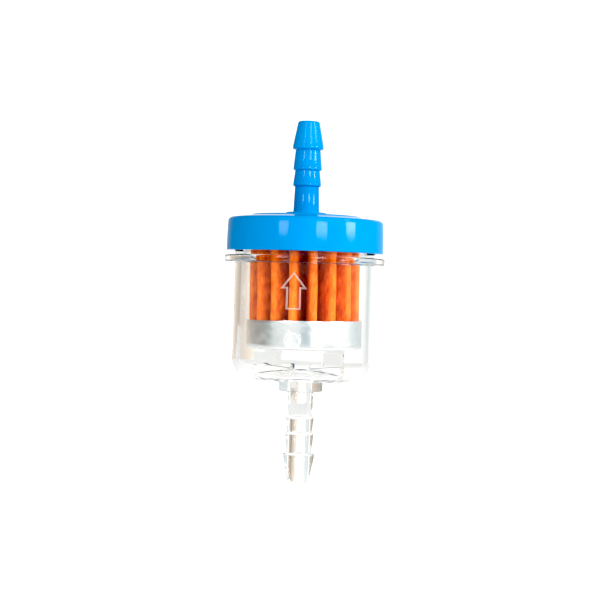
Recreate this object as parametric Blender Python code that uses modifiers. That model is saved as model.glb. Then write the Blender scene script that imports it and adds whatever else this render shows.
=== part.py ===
"""Inline fuel filter for a 6 mm hose: a clear bowl, a blue outlet cap and the pleated element between them.

The origin is the centre of the inlet barb's end. +Z runs along the flow axis towards the outlet barb, and the
moulded flow arrow faces -Y. An azimuth is measured from -Y towards +X.
"""
import math

import bmesh
import bpy
from mathutils import Matrix, Vector

MM = 0.001

# Hose barbs: both ends take the same hose, so both are the same barb.
BARB_LENGTH = 21.9 * MM
BARB_TIP_RADIUS = 2.57 * MM
BARB_ROOT_RADIUS = 3.15 * MM
BORE_RADIUS = 1.8 * MM
UNDERCUT = 0.2 * MM
# One ridge a line, tip first: start of its flat land from the tip, the land's length, its radius, the neck behind it.
RIDGES = (
    (6.0 * MM, 0.7 * MM, 3.72 * MM, 3.01 * MM),
    (11.2 * MM, 0.5 * MM, 3.43 * MM, 2.98 * MM),
    (15.1 * MM, 0.4 * MM, 3.38 * MM, 2.92 * MM),
)

# Bowl, upwards from the inlet barb.
COLLAR_RADIUS = 5.25 * MM
BOWL_BOTTOM = 24.7 * MM
BOWL_RADIUS = 16.75 * MM
BOWL_WALL = 1.5 * MM
CORNER_RADIUS = 4.8 * MM
CORNER_STEPS = 5
FLANGE_RADIUS = 19.3 * MM
FLANGE_BOTTOM = 52.6 * MM
FLANGE_TOP = 54.2 * MM
NECK_RADIUS = 16.85 * MM
NECK_TOP = 61.9 * MM

# Ribs that stand on the bowl's floor and carry the element.
RIB_COUNT = 4
FIRST_RIB_AZIMUTH = math.radians(49)
RIB_THICKNESS = 1.2 * MM
RIB_INNER_RADIUS = 3.2 * MM
RIB_STEP_RADIUS = 8.0 * MM
RIB_OUTER_RADIUS = 14.0 * MM
RIB_STEP_HEIGHT = 2.0 * MM
RIB_ROOT_DEPTH = 0.7 * MM
RIB_TOP = 31.55 * MM

# Marks moulded on the bowl: an outlined arrow that gives the flow direction, and a plain ring.
MARK_HEIGHT = 0.3 * MM
MARK_DEPTH = 0.5 * MM
MARK_LINE = 0.45 * MM
ARROW_BOTTOM = 41.7 * MM
ARROW_TOP = 50.4 * MM
ARROW_HEAD_WIDTH = 6.2 * MM
ARROW_HEAD_HEIGHT = 3.9 * MM
ARROW_SHAFT_WIDTH = 3.4 * MM
RING_HEIGHT = 34.6 * MM
RING_RADIUS = 1.9 * MM
RING_POINTS = 24

# Outlet cap, upwards from its skirt. Its wall bows inwards a little from the bow's height up to the edge.
CAP_RADIUS = 18.9 * MM
CAP_BOTTOM = 55.3 * MM
CAP_BOW_HEIGHT = 58.6 * MM
CAP_BOW_STEPS = 3
CAP_TOP_RADIUS = 18.68 * MM
CAP_SKIRT_INNER_RADIUS = 17.2 * MM
CAP_CEILING = 62.3 * MM
CAP_EDGE_TOP = 63.2 * MM
CAP_EDGE_RADIUS = 1.0 * MM
CAP_EDGE_STEPS = 4
SHOULDER_RADIUS = 13.4 * MM
SHOULDER_TOP = 63.8 * MM
DISC_RADIUS = 13.0 * MM
DISC_TOP = 64.15 * MM
BASE_RADIUS = 4.85 * MM
BASE_TOP = 64.9 * MM
SPIGOT_RADIUS = 3.4 * MM
SPIGOT_BOTTOM = 57.0 * MM
TOTAL_HEIGHT = BASE_TOP + BARB_LENGTH

# Element, upwards from the lower end cap. It hangs on the outlet's spigot a degree out of true, as its soft grommet
# lets it.
ELEMENT_LEAN = math.radians(1.0)
LEAN_AZIMUTH = math.radians(98.2)
PIVOT_HEIGHT = 60.0 * MM
FIT_GAP = 0.3 * MM
CUP_RADIUS = 13.9 * MM
CUP_SHEET = 0.3 * MM
CUP_CORNER_RADIUS = 0.8 * MM
CUP_CORNER_STEPS = 3
LOWER_CUP_BOTTOM = 32.15 * MM
LOWER_CUP_RIM = 39.1 * MM
UPPER_CUP_RIM = 55.5 * MM
UPPER_CUP_TOP = 61.3 * MM
UPPER_CUP_HOLE_RADIUS = 5.0 * MM
POTTING_THICKNESS = 1.2 * MM
POTTING_RADIUS = CUP_RADIUS - CUP_SHEET - FIT_GAP
POTTING_HOLE_RADIUS = 6.5 * MM
PLEAT_COUNT = 17
FIRST_PLEAT_AZIMUTH = math.radians(16.5)
PLEAT_RADIUS = 13.35 * MM
PLEAT_ROOT_RADIUS = 5.2 * MM
PAPER = 0.4 * MM
FOLD_RADIUS = 0.7 * MM
ROOT_FOLD_RADIUS = 0.5 * MM
FOLD_STEPS = 4
SEAM_PLEAT = 8
SEAM_PLEAT_RADIUS = 12.8 * MM
CLIP_SHEET = 0.25 * MM
CLIP_GAP = 0.15 * MM
CLIP_LEG = 3.0 * MM
TUBE_RADIUS = 4.4 * MM
TUBE_SHEET = 0.4 * MM
TUBE_HOLE_RADIUS = 0.9 * MM
TUBE_HOLE_ROWS = 5
TUBE_HOLES_PER_ROW = 6
GROMMET_BORE_RADIUS = 3.7 * MM
GROMMET_RADIUS = 6.0 * MM
GROMMET_GROOVE_RADIUS = 4.7 * MM
GROMMET_LIP = 0.5 * MM

SHELL_STEPS = 48
SMALL_STEPS = 32
SMOOTH_ANGLE = math.radians(35)


def clear_scene():
    """Remove every object that the file starts with."""
    for item in list(bpy.data.objects):
        bpy.data.objects.remove(item, do_unlink=True)


def new_collection(name):
    """Make a collection in the scene."""
    collection = bpy.data.collections.new(name)
    bpy.context.scene.collection.children.link(collection)
    return collection


def new_material(name, color, roughness, metallic=0.0, alpha=1.0):
    """Make a Principled material with one colour and finish."""
    material = bpy.data.materials.new(name)
    material.use_nodes = True
    shader = material.node_tree.nodes["Principled BSDF"]
    shader.inputs["Base Color"].default_value = (*color, 1.0)
    shader.inputs["Roughness"].default_value = roughness
    shader.inputs["Metallic"].default_value = metallic
    shader.inputs["Alpha"].default_value = alpha
    return material


def add_object(name, mesh, collection, material=None):
    """Put a mesh in the collection as a smooth-shaded object."""
    item = bpy.data.objects.new(name, mesh)
    collection.objects.link(item)
    mesh.shade_smooth()
    mesh.set_sharp_from_angle(angle=SMOOTH_ANGLE)
    if material:
        mesh.materials.append(material)
    return item


def add_tool(name, mesh, collection):
    """Put a mesh in the collection as a shape that another object's Boolean uses."""
    item = bpy.data.objects.new(name, mesh)
    collection.objects.link(item)
    item.hide_render = True
    item.display_type = "WIRE"
    return item


def add_boolean(item, tool, operation):
    """Join or cut an object with another."""
    modifier = item.modifiers.new(tool.name, "BOOLEAN")
    modifier.operation = operation
    modifier.solver = "EXACT"
    modifier.object = tool


def around(azimuth, radius, height):
    """The point at a radius and a height, at an azimuth from -Y towards +X."""
    return Vector((radius * math.sin(azimuth), -radius * math.cos(azimuth), height))


def hang(*items):
    """Lean objects of the element about the point where it hangs, so that its foot swings to the lean's azimuth."""
    pivot = Matrix.Translation((0.0, 0.0, PIVOT_HEIGHT))
    axis = around(LEAN_AZIMUTH + math.pi / 2, 1.0, 0.0)
    lean = pivot @ Matrix.Rotation(-ELEMENT_LEAN, 4, axis) @ pivot.inverted()
    for item in items:
        item.matrix_world = lean


def arc(center, radius, start, end, steps):
    """Points of an arc in an outline's plane, with both ends, from start to end in degrees."""
    angles = [math.radians(start + (end - start) * i / steps) for i in range(steps + 1)]
    return [(center[0] + radius * math.cos(a), center[1] + radius * math.sin(a)) for a in angles]


def turned(name, outline, steps, collection, material, closed=True):
    """Turn an outline of (radius, height) points about Z. It runs down its outer side."""
    mesh = bpy.data.meshes.new(name)
    edges = [(i, i + 1) for i in range(len(outline) - 1)]
    if closed:
        edges.append((len(outline) - 1, 0))
    mesh.from_pydata([(radius, 0.0, height) for radius, height in outline], edges, [])
    item = add_object(name, mesh, collection, material)
    screw = item.modifiers.new("turn", "SCREW")
    screw.axis = "Z"
    screw.angle = math.tau
    screw.steps = steps
    screw.render_steps = steps
    screw.use_merge_vertices = True
    screw.merge_threshold = 0.00001
    return item


def barb_outline(tip_height, inwards):
    """A barb's outline from its tip to its root. inwards is 1 where the root is above the tip, and -1 below."""
    points = [(0.0, BARB_TIP_RADIUS)]
    for land_start, land_length, land_radius, neck_radius in RIDGES:
        points.append((land_start, land_radius))
        points.append((land_start + land_length, land_radius))
        points.append((land_start + land_length + UNDERCUT, neck_radius))
    points.append((BARB_LENGTH, BARB_ROOT_RADIUS))
    return [(radius, tip_height + inwards * distance) for distance, radius in points]


def bowl_outline():
    """The bowl's section: down the neck, flange, wall, floor and barb, and back up the inside."""
    corner_height = BOWL_BOTTOM + CORNER_RADIUS
    corner_center = (BOWL_RADIUS - CORNER_RADIUS, corner_height)
    inner_corner_radius = CORNER_RADIUS - BOWL_WALL
    return [
        (NECK_RADIUS, NECK_TOP),
        (NECK_RADIUS, FLANGE_TOP),
        (FLANGE_RADIUS, FLANGE_TOP),
        (FLANGE_RADIUS, FLANGE_BOTTOM),
        (BOWL_RADIUS, FLANGE_BOTTOM),
        *arc(corner_center, CORNER_RADIUS, 0, -90, CORNER_STEPS),
        (COLLAR_RADIUS, BOWL_BOTTOM),
        (COLLAR_RADIUS, BARB_LENGTH),
        *reversed(barb_outline(0.0, 1)),
        (BORE_RADIUS, 0.0),
        (BORE_RADIUS, BOWL_BOTTOM + BOWL_WALL),
        *arc(corner_center, inner_corner_radius, -90, 0, CORNER_STEPS),
        (BOWL_RADIUS - BOWL_WALL, NECK_TOP),
    ]


def rib_mesh():
    """The stepped ribs under the element, as one mesh that the bowl is joined with."""
    floor = BOWL_BOTTOM + BOWL_WALL
    root = floor - RIB_ROOT_DEPTH
    blade = [
        (RIB_INNER_RADIUS, root),
        (RIB_OUTER_RADIUS, root),
        (RIB_OUTER_RADIUS, RIB_TOP),
        (RIB_STEP_RADIUS, RIB_TOP),
        (RIB_STEP_RADIUS, floor + RIB_STEP_HEIGHT),
        (RIB_INNER_RADIUS, floor + RIB_STEP_HEIGHT),
    ]
    shape = bmesh.new()
    for index in range(RIB_COUNT):
        azimuth = FIRST_RIB_AZIMUTH + math.tau * index / RIB_COUNT
        sideways = around(azimuth + math.pi / 2, RIB_THICKNESS, 0.0)
        corners = [shape.verts.new(around(azimuth, radius, height) - sideways / 2) for radius, height in blade]
        face = shape.faces.new(corners)
        grown = bmesh.ops.extrude_face_region(shape, geom=[face], use_keep_orig=True)
        moved = [part for part in grown["geom"] if isinstance(part, bmesh.types.BMVert)]
        bmesh.ops.translate(shape, verts=moved, vec=sideways)
    return finished_mesh(shape, "ribs")


def finished_mesh(shape, name):
    """Turn a bmesh's faces outwards and write it to a new mesh."""
    bmesh.ops.recalc_face_normals(shape, faces=shape.faces)
    mesh = bpy.data.meshes.new(name)
    shape.to_mesh(mesh)
    shape.free()
    return mesh


def mark_mesh(name, outlines, collection):
    """A raised line drawn flat between two outlines of (sideways, height) points, then bent onto the bowl."""
    curve = bpy.data.curves.new(name, "CURVE")
    curve.dimensions = "2D"
    curve.fill_mode = "BOTH"
    curve.extrude = (MARK_HEIGHT + MARK_DEPTH) / 2
    for outline in outlines:
        spline = curve.splines.new("POLY")
        spline.points.add(len(outline) - 1)
        for point, (sideways, height) in zip(spline.points, outline):
            point.co = (sideways, height, 0.0, 1.0)
        spline.use_cyclic_u = True
    drawing = bpy.data.objects.new(name, curve)
    collection.objects.link(drawing)
    flat = bpy.data.meshes.new_from_object(drawing.evaluated_get(bpy.context.evaluated_depsgraph_get()))
    bpy.data.objects.remove(drawing, do_unlink=True)
    shape = bmesh.new()
    shape.from_mesh(flat)
    bmesh.ops.remove_doubles(shape, verts=shape.verts, dist=0.00001)
    middle_radius = BOWL_RADIUS + (MARK_HEIGHT - MARK_DEPTH) / 2
    for vert in shape.verts:
        sideways, height, depth = vert.co
        vert.co = around(sideways / BOWL_RADIUS, middle_radius + depth, height)
    return finished_mesh(shape, name)


def arrow_points(inset):
    """The flow arrow's outline, drawn in from its outer edge by a distance."""
    half_head = ARROW_HEAD_WIDTH / 2
    half_shaft = ARROW_SHAFT_WIDTH / 2 - inset
    slope = math.hypot(half_head, ARROW_HEAD_HEIGHT)
    tip = ARROW_TOP - inset * slope / half_head
    barb_height = ARROW_TOP - ARROW_HEAD_HEIGHT + inset
    barb = (tip - barb_height) * half_head / ARROW_HEAD_HEIGHT
    bottom = ARROW_BOTTOM + inset
    right = [(half_shaft, bottom), (half_shaft, barb_height), (barb, barb_height)]
    left = [(-sideways, height) for sideways, height in reversed(right)]
    return [*right, (0.0, tip), *left]


def ring_points(radius):
    """A circle about the ring mark's centre."""
    return arc((0.0, RING_HEIGHT), radius, 0, 360 - 360 / RING_POINTS, RING_POINTS - 1)


def make_bowl(parts, tools):
    """The clear bowl with its ribs and moulded marks."""
    clear = new_material("clear_plastic", (0.93, 0.96, 0.97), 0.06, alpha=0.25)
    bowl = turned("bowl", bowl_outline(), SHELL_STEPS, parts, clear)
    arrow = mark_mesh("arrow", [arrow_points(0.0), arrow_points(MARK_LINE)], tools)
    ring = mark_mesh("ring", [ring_points(RING_RADIUS), ring_points(RING_RADIUS - MARK_LINE)], tools)
    for name, mesh in (("ribs", rib_mesh()), ("arrow", arrow), ("ring", ring)):
        add_boolean(bowl, add_tool(name, mesh, tools), "UNION")


def make_cap(parts):
    """The blue cap: barb, stepped top, skirt and the spigot that reaches into the element."""
    blue = new_material("blue_plastic", (0.0, 0.32, 0.95), 0.18)
    edge_height = CAP_EDGE_TOP - CAP_EDGE_RADIUS
    edge_center = (CAP_TOP_RADIUS - CAP_EDGE_RADIUS, edge_height)
    bow = []
    for step in range(1, CAP_BOW_STEPS + 1):
        share = 1 - step / CAP_BOW_STEPS
        radius = CAP_RADIUS - (CAP_RADIUS - CAP_TOP_RADIUS) * share * share
        bow.append((radius, CAP_BOW_HEIGHT + (edge_height - CAP_BOW_HEIGHT) * share))
    outline = [
        *barb_outline(TOTAL_HEIGHT, -1),
        (BASE_RADIUS, BASE_TOP),
        (BASE_RADIUS, DISC_TOP),
        (DISC_RADIUS, DISC_TOP),
        (SHOULDER_RADIUS, SHOULDER_TOP),
        *arc(edge_center, CAP_EDGE_RADIUS, 90, 0, CAP_EDGE_STEPS),
        *bow,
        (CAP_RADIUS, CAP_BOTTOM),
        (CAP_SKIRT_INNER_RADIUS, CAP_BOTTOM),
        (CAP_SKIRT_INNER_RADIUS, CAP_CEILING),
        (SPIGOT_RADIUS, CAP_CEILING),
        (SPIGOT_RADIUS, SPIGOT_BOTTOM),
        (BORE_RADIUS, SPIGOT_BOTTOM),
        (BORE_RADIUS, TOTAL_HEIGHT),
    ]
    turned("outlet_cap", outline, SHELL_STEPS, parts, blue)


def make_end_caps(parts):
    """The two pressed cups that hold the pleats' ends. The upper one has the outlet's hole."""
    tin = new_material("tin_plate", (0.78, 0.80, 0.80), 0.25, metallic=1.0)
    inner_radius = CUP_RADIUS - CUP_SHEET
    inner_corner = CUP_CORNER_RADIUS - CUP_SHEET
    corner_radius_center = CUP_RADIUS - CUP_CORNER_RADIUS
    low = (corner_radius_center, LOWER_CUP_BOTTOM + CUP_CORNER_RADIUS)
    lower = [
        (0.0, LOWER_CUP_BOTTOM + CUP_SHEET),
        *arc(low, inner_corner, -90, 0, CUP_CORNER_STEPS),
        (inner_radius, LOWER_CUP_RIM),
        (CUP_RADIUS, LOWER_CUP_RIM),
        *arc(low, CUP_CORNER_RADIUS, 0, -90, CUP_CORNER_STEPS),
        (0.0, LOWER_CUP_BOTTOM),
    ]
    hang(turned("lower_end_cap", lower, SHELL_STEPS, parts, tin, closed=False))
    high = (corner_radius_center, UPPER_CUP_TOP - CUP_CORNER_RADIUS)
    upper = [
        (UPPER_CUP_HOLE_RADIUS, UPPER_CUP_TOP),
        *arc(high, CUP_CORNER_RADIUS, 90, 0, CUP_CORNER_STEPS),
        (CUP_RADIUS, UPPER_CUP_RIM),
        (inner_radius, UPPER_CUP_RIM),
        *arc(high, inner_corner, 0, 90, CUP_CORNER_STEPS),
        (UPPER_CUP_HOLE_RADIUS, UPPER_CUP_TOP - CUP_SHEET),
    ]
    hang(turned("upper_end_cap", upper, SHELL_STEPS, parts, tin))


def potting_heights():
    """Bottom and top of the lower and of the upper potting."""
    lower = LOWER_CUP_BOTTOM + CUP_SHEET + FIT_GAP
    upper = UPPER_CUP_TOP - CUP_SHEET - FIT_GAP
    return (lower, lower + POTTING_THICKNESS), (upper - POTTING_THICKNESS, upper)


def make_potting(parts):
    """The plastisol that bonds the paper into the cups."""
    plastisol = new_material("plastisol", (0.10, 0.10, 0.11), 0.5)
    (low_bottom, low_top), (high_bottom, high_top) = potting_heights()
    corner = CUP_CORNER_RADIUS - CUP_SHEET
    lower = [
        (0.0, low_top),
        (POTTING_RADIUS, low_top),
        (POTTING_RADIUS, low_bottom + corner),
        (POTTING_RADIUS - corner, low_bottom),
        (0.0, low_bottom),
    ]
    hang(turned("lower_potting", lower, SMALL_STEPS, parts, plastisol, closed=False))
    upper = [
        (POTTING_RADIUS - corner, high_top),
        (POTTING_RADIUS, high_top - corner),
        (POTTING_RADIUS, high_bottom),
        (POTTING_HOLE_RADIUS, high_bottom),
        (POTTING_HOLE_RADIUS, high_top),
    ]
    hang(turned("upper_potting", upper, SMALL_STEPS, parts, plastisol))


def element_heights():
    """Bottom and top of the paper, between the two layers of potting."""
    (_, low_top), (high_bottom, _) = potting_heights()
    return low_top + FIT_GAP, high_bottom - FIT_GAP


def fold_lines():
    """For each pleat: its azimuth, the centre radius of its outer fold, and half the angle that fold turns."""
    half_pitch = math.pi / PLEAT_COUNT
    root_center = PLEAT_ROOT_RADIUS + PAPER / 2 + ROOT_FOLD_RADIUS
    lines = []
    for index in range(PLEAT_COUNT):
        outer = SEAM_PLEAT_RADIUS if index == SEAM_PLEAT else PLEAT_RADIUS
        fold_center = outer - PAPER / 2 - FOLD_RADIUS
        inwards = fold_center - root_center * math.cos(half_pitch)
        sideways = root_center * math.sin(half_pitch)
        lean = math.asin((FOLD_RADIUS + ROOT_FOLD_RADIUS) / math.hypot(inwards, sideways))
        half_turn = math.pi / 2 - math.atan2(sideways, inwards) + lean
        lines.append((FIRST_PLEAT_AZIMUTH + 2 * half_pitch * index, fold_center, half_turn))
    return lines


def sheet_mesh(name, path, bottom, top, cyclic):
    """An upright sheet along a path of points at the bottom height."""
    shape = bmesh.new()
    verts = [shape.verts.new(point) for point in path]
    edges = [shape.edges.new(pair) for pair in zip(verts, verts[1:])]
    if cyclic:
        edges.append(shape.edges.new((verts[-1], verts[0])))
    grown = bmesh.ops.extrude_edge_only(shape, edges=edges)
    moved = [part for part in grown["geom"] if isinstance(part, bmesh.types.BMVert)]
    bmesh.ops.translate(shape, verts=moved, vec=(0.0, 0.0, top - bottom))
    return finished_mesh(shape, name)


def thicken(item, thickness):
    """Give an open sheet its thickness, half on each side."""
    solidify = item.modifiers.new("thickness", "SOLIDIFY")
    solidify.thickness = thickness
    solidify.offset = 0.0
    solidify.use_even_offset = True


def fold_arc(azimuth, center_radius, radius, half_turn, height, steps, outwards=True):
    """Points of one fold, in order of azimuth. An inner fold bulges towards the axis."""
    center = around(azimuth, center_radius, height)
    points = []
    for step in range(steps + 1):
        turn = half_turn * (2 * step / steps - 1)
        if outwards:
            points.append(center + around(azimuth + turn, radius, 0.0))
        else:
            points.append(center - around(azimuth - turn, radius, 0.0))
    return points


def make_element(parts):
    """The paper, folded round in pleats with rounded folds."""
    paper = new_material("resin_paper", (0.75, 0.20, 0.03), 0.7)
    bottom, top = element_heights()
    half_pitch = math.pi / PLEAT_COUNT
    root_center = PLEAT_ROOT_RADIUS + PAPER / 2 + ROOT_FOLD_RADIUS
    path = []
    for azimuth, fold_center, half_turn in fold_lines():
        root_turn = half_turn - half_pitch
        path += fold_arc(azimuth, fold_center, FOLD_RADIUS, half_turn, bottom, FOLD_STEPS)
        path += fold_arc(azimuth + half_pitch, root_center, ROOT_FOLD_RADIUS, root_turn, bottom, FOLD_STEPS, False)
    mesh = sheet_mesh("pleated_element", path, bottom, top, cyclic=True)
    element = add_object("pleated_element", mesh, parts, paper)
    thicken(element, PAPER)
    hang(element)


def make_seam_clip(parts):
    """The folded strip that grips the seam pleat."""
    tin = new_material("clip_tin", (0.72, 0.74, 0.75), 0.3, metallic=1.0)
    bottom, top = element_heights()
    azimuth, fold_center, _ = fold_lines()[SEAM_PLEAT]
    radius = FOLD_RADIUS + PAPER / 2 + CLIP_GAP + CLIP_SHEET / 2
    bend = fold_arc(azimuth, fold_center, radius, math.pi / 2, bottom, 2 * FOLD_STEPS)
    leg = around(azimuth, CLIP_LEG, 0.0)
    path = [bend[0] - leg, *bend, bend[-1] - leg]
    mesh = sheet_mesh("seam_clip", path, bottom, top, cyclic=False)
    clip = add_object("seam_clip", mesh, parts, tin)
    thicken(clip, CLIP_SHEET)
    hang(clip)


def make_centre_tube(parts, tools):
    """The tube inside the pleats, punched with staggered rows of holes."""
    tin = new_material("tube_tin", (0.72, 0.74, 0.75), 0.3, metallic=1.0)
    bottom, top = element_heights()
    inner = TUBE_RADIUS - TUBE_SHEET
    outline = [(TUBE_RADIUS, top), (TUBE_RADIUS, bottom), (inner, bottom), (inner, top)]
    tube = turned("centre_tube", outline, SMALL_STEPS, parts, tin)
    shape = bmesh.new()
    for row in range(TUBE_HOLE_ROWS):
        height = bottom + (top - bottom) * (row + 0.5) / TUBE_HOLE_ROWS
        for hole in range(TUBE_HOLES_PER_ROW):
            azimuth = math.tau * (hole + 0.5 * (row % 2)) / TUBE_HOLES_PER_ROW
            outwards = around(azimuth, 1.0, 0.0)
            spin = outwards.to_track_quat("Z", "X").to_matrix().to_4x4()
            spin.translation = around(azimuth, TUBE_RADIUS - TUBE_SHEET / 2, height)
            bmesh.ops.create_cone(
                shape,
                cap_ends=True,
                segments=10,
                radius1=TUBE_HOLE_RADIUS,
                radius2=TUBE_HOLE_RADIUS,
                depth=4 * TUBE_SHEET,
                matrix=spin,
            )
    holes = add_tool("tube_holes", finished_mesh(shape, "tube_holes"), tools)
    add_boolean(tube, holes, "DIFFERENCE")
    hang(tube, holes)


def make_grommet(parts):
    """The rubber ring whose groove grips the upper cup's hole."""
    rubber = new_material("rubber", (0.03, 0.03, 0.03), 0.6)
    groove_top = UPPER_CUP_TOP + FIT_GAP
    groove_bottom = UPPER_CUP_TOP - CUP_SHEET - FIT_GAP
    top = groove_top + GROMMET_LIP
    bottom = groove_bottom - GROMMET_LIP
    outline = [
        (GROMMET_RADIUS, top),
        (GROMMET_RADIUS, groove_top),
        (GROMMET_GROOVE_RADIUS, groove_top),
        (GROMMET_GROOVE_RADIUS, groove_bottom),
        (GROMMET_RADIUS, groove_bottom),
        (GROMMET_RADIUS, bottom),
        (GROMMET_BORE_RADIUS, bottom),
        (GROMMET_BORE_RADIUS, top),
    ]
    hang(turned("outlet_grommet", outline, SMALL_STEPS, parts, rubber))


def main():
    """Build the filter."""
    clear_scene()
    parts = new_collection("fuel_filter")
    tools = new_collection("shaping_tools")
    make_bowl(parts, tools)
    make_cap(parts)
    make_end_caps(parts)
    make_potting(parts)
    make_element(parts)
    make_seam_clip(parts)
    make_centre_tube(parts, tools)
    make_grommet(parts)


main()
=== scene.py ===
# %% [markdown]
# # An inline fuel filter in clear and blue plastic
# The filter hangs in a petrol line between two 6 mm hoses. A clear bowl holds a pleated paper element, and
# a blue cap closes it. The CAD model says where everything is. Here each visible piece is made again with a
# fine surface, in the same place, and gets a finish that looks like the real material under soft studio
# light.

# %% Load the fixed frame
import math

import bmesh
import bpy
from mathutils import Matrix, Vector, noise


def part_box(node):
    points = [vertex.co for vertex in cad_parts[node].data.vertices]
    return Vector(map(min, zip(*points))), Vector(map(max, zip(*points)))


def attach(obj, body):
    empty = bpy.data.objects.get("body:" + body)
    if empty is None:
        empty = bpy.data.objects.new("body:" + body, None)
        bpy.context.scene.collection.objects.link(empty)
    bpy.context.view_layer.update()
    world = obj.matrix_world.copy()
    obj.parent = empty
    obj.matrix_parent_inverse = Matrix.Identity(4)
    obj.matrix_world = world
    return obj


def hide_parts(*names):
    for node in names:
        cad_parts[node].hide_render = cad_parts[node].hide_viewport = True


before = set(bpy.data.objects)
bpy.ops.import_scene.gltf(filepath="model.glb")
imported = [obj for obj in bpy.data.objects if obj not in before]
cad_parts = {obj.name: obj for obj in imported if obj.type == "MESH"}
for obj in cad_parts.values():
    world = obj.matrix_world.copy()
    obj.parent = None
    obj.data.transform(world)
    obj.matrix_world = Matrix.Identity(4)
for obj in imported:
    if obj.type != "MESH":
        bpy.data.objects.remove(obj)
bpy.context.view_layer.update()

# %% [markdown]
# ## Places
# Overall places come from the CAD nodes' boxes. The few sizes that a box can't give, such as a corner's
# radius, are given with each piece in millimetres. An azimuth is measured from the front (-Y, where the
# flow arrow is) towards +X.

# %% Heights and radii of the pieces
MM = 0.001
bowl_low, bowl_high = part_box("bowl")
cap_low, cap_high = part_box("outlet_cap")
print("bowl and cap span", round(bowl_low.z / MM, 1), "to", round(cap_high.z / MM, 1), "mm")


def around(azimuth, radius, height):
    """The point at a radius and a height, at an azimuth in degrees from -Y towards +X."""
    turn = math.radians(azimuth)
    return Vector((radius * math.sin(turn), -radius * math.cos(turn), height))


# %% [markdown]
# The element hangs on the outlet's spigot by a soft grommet, so it never sits quite true. It leans by a
# degree about the point where it hangs. Its pieces are made upright and leaned at the end, and their sizes
# are read square to it.

# %% Lean of the element
LEAN_ANGLE = 1.0
LEAN_AZIMUTH = 98.2
PIVOT_HEIGHT = 60.0
pivot = Matrix.Translation((0.0, 0.0, PIVOT_HEIGHT * MM))
lean_axis = around(LEAN_AZIMUTH + 90, 1.0, 0.0)
LEAN = pivot @ Matrix.Rotation(math.radians(-LEAN_ANGLE), 4, lean_axis) @ pivot.inverted()


def upright_box(node):
    """The lowest and highest corners of a leaning CAD node, measured as if it stood upright."""
    points = [LEAN.inverted() @ vert.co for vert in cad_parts[node].data.vertices]
    low = Vector([min(point[axis] for point in points) for axis in range(3)])
    return low, Vector([max(point[axis] for point in points) for axis in range(3)])


lower_cup_low, lower_cup_high = upright_box("lower_end_cap")
upper_cup_low, upper_cup_high = upright_box("upper_end_cap")
paper_low, paper_high = upright_box("pleated_element")
print("lower cup", round(lower_cup_low.z / MM, 2), "to", round(lower_cup_high.z / MM, 2), "mm")

# %% [markdown]
# ## Camera
# The camera looks level across the filter from about four lengths away, a little right of the flow arrow.
# It is rolled by under two degrees, which makes the filter lean as a hand-hung part does. A long lens keeps
# the barrel's sides parallel.

# %% Put the camera in place
CAMERA_AZIMUTH = 8.2
CAMERA_DISTANCE = 351 * MM
CAMERA_HEIGHT = 47.66 * MM
CAMERA_SIDESTEP = -0.84 * MM
CAMERA_PITCH = -0.63
CAMERA_ROLL = 1.81
VIEW_WIDTH = 144.6 * MM

camera_data = bpy.data.cameras.new("camera")
camera_data.sensor_width = 36.0
camera_data.lens = camera_data.sensor_width * CAMERA_DISTANCE / VIEW_WIDTH
camera = bpy.data.objects.new("camera", camera_data)
bpy.context.scene.collection.objects.link(camera)
bpy.context.scene.camera = camera
sidestep = around(CAMERA_AZIMUTH + 90, CAMERA_SIDESTEP, 0.0)
camera.matrix_world = (
    Matrix.Translation(around(CAMERA_AZIMUTH, CAMERA_DISTANCE, CAMERA_HEIGHT) + sidestep)
    @ Matrix.Rotation(math.radians(CAMERA_AZIMUTH), 4, "Z")
    @ Matrix.Rotation(math.radians(90 + CAMERA_PITCH), 4, "X")
    @ Matrix.Rotation(math.radians(CAMERA_ROLL), 4, "Z")
)
print("lens", round(camera_data.lens, 1), "mm")

# %% [markdown]
# ## Studio light
# Clear plastic shows only what is around it, so the room matters more than any lamp. The room is white
# straight behind, where the backdrop stands, beige and darker behind left and on the left, where there is a
# plain wall, and a cool grey in front, round the camera. That draws the warm grey band down the bowl's left
# side and the thin grey line down its right. A white table hides the wall's foot, so there are two colour
# ramps over the compass direction, one above the table's far edge and one below it, and they blend over a
# few degrees. What the camera sees directly is plain white.

# %% Build the room as a world shader
ROOM_GLOSS = 1.25     # how bright the room is in reflections and through the clear plastic
ROOM_FILL = 0.8       # how bright it is as fill light on the paper and the cap
# One stop a line: azimuth in degrees from the camera, positive on its right, and the room's colour there.
WALL_BEHIND = (
    (-180, (1.00, 1.00, 1.00)),
    (-176, (0.98, 0.93, 0.88)),
    (-170, (0.74, 0.63, 0.53)),
    (-158, (0.54, 0.47, 0.40)),
    (-138, (0.42, 0.37, 0.31)),
)
TABLE_BEHIND = (
    (-180, (1.00, 1.00, 1.00)),
    (-150, (0.88, 0.85, 0.82)),
)
ROUND_THE_FRONT = (
    (-118, (0.30, 0.26, 0.22)),
    (-86, (0.20, 0.20, 0.19)),
    (-72, (0.26, 0.31, 0.29)),
    (-58, (0.60, 0.66, 0.65)),
    (-16, (0.58, 0.63, 0.64)),
    (-1, (0.30, 0.41, 0.46)),
    (7, (0.30, 0.41, 0.46)),
    (15, (0.60, 0.60, 0.60)),
    (60, (0.75, 0.75, 0.75)),
    (84, (0.95, 0.95, 0.95)),
    (104, (0.66, 0.73, 0.74)),
    (122, (0.58, 0.65, 0.67)),
    (148, (0.56, 0.60, 0.60)),
    (166, (1.00, 1.00, 1.00)),
)
TABLE_EDGE = (-7.0, -3.6)      # degrees above the horizon between which the wall takes over from the table

world = bpy.data.worlds.new("studio_room")
bpy.context.scene.world = world
world.use_nodes = True
room = world.node_tree
room.nodes.clear()


def add_node(tree, kind, **settings):
    """Add a node and set its properties."""
    node = tree.nodes.new(kind)
    for name, value in settings.items():
        setattr(node, name, value)
    return node


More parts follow.
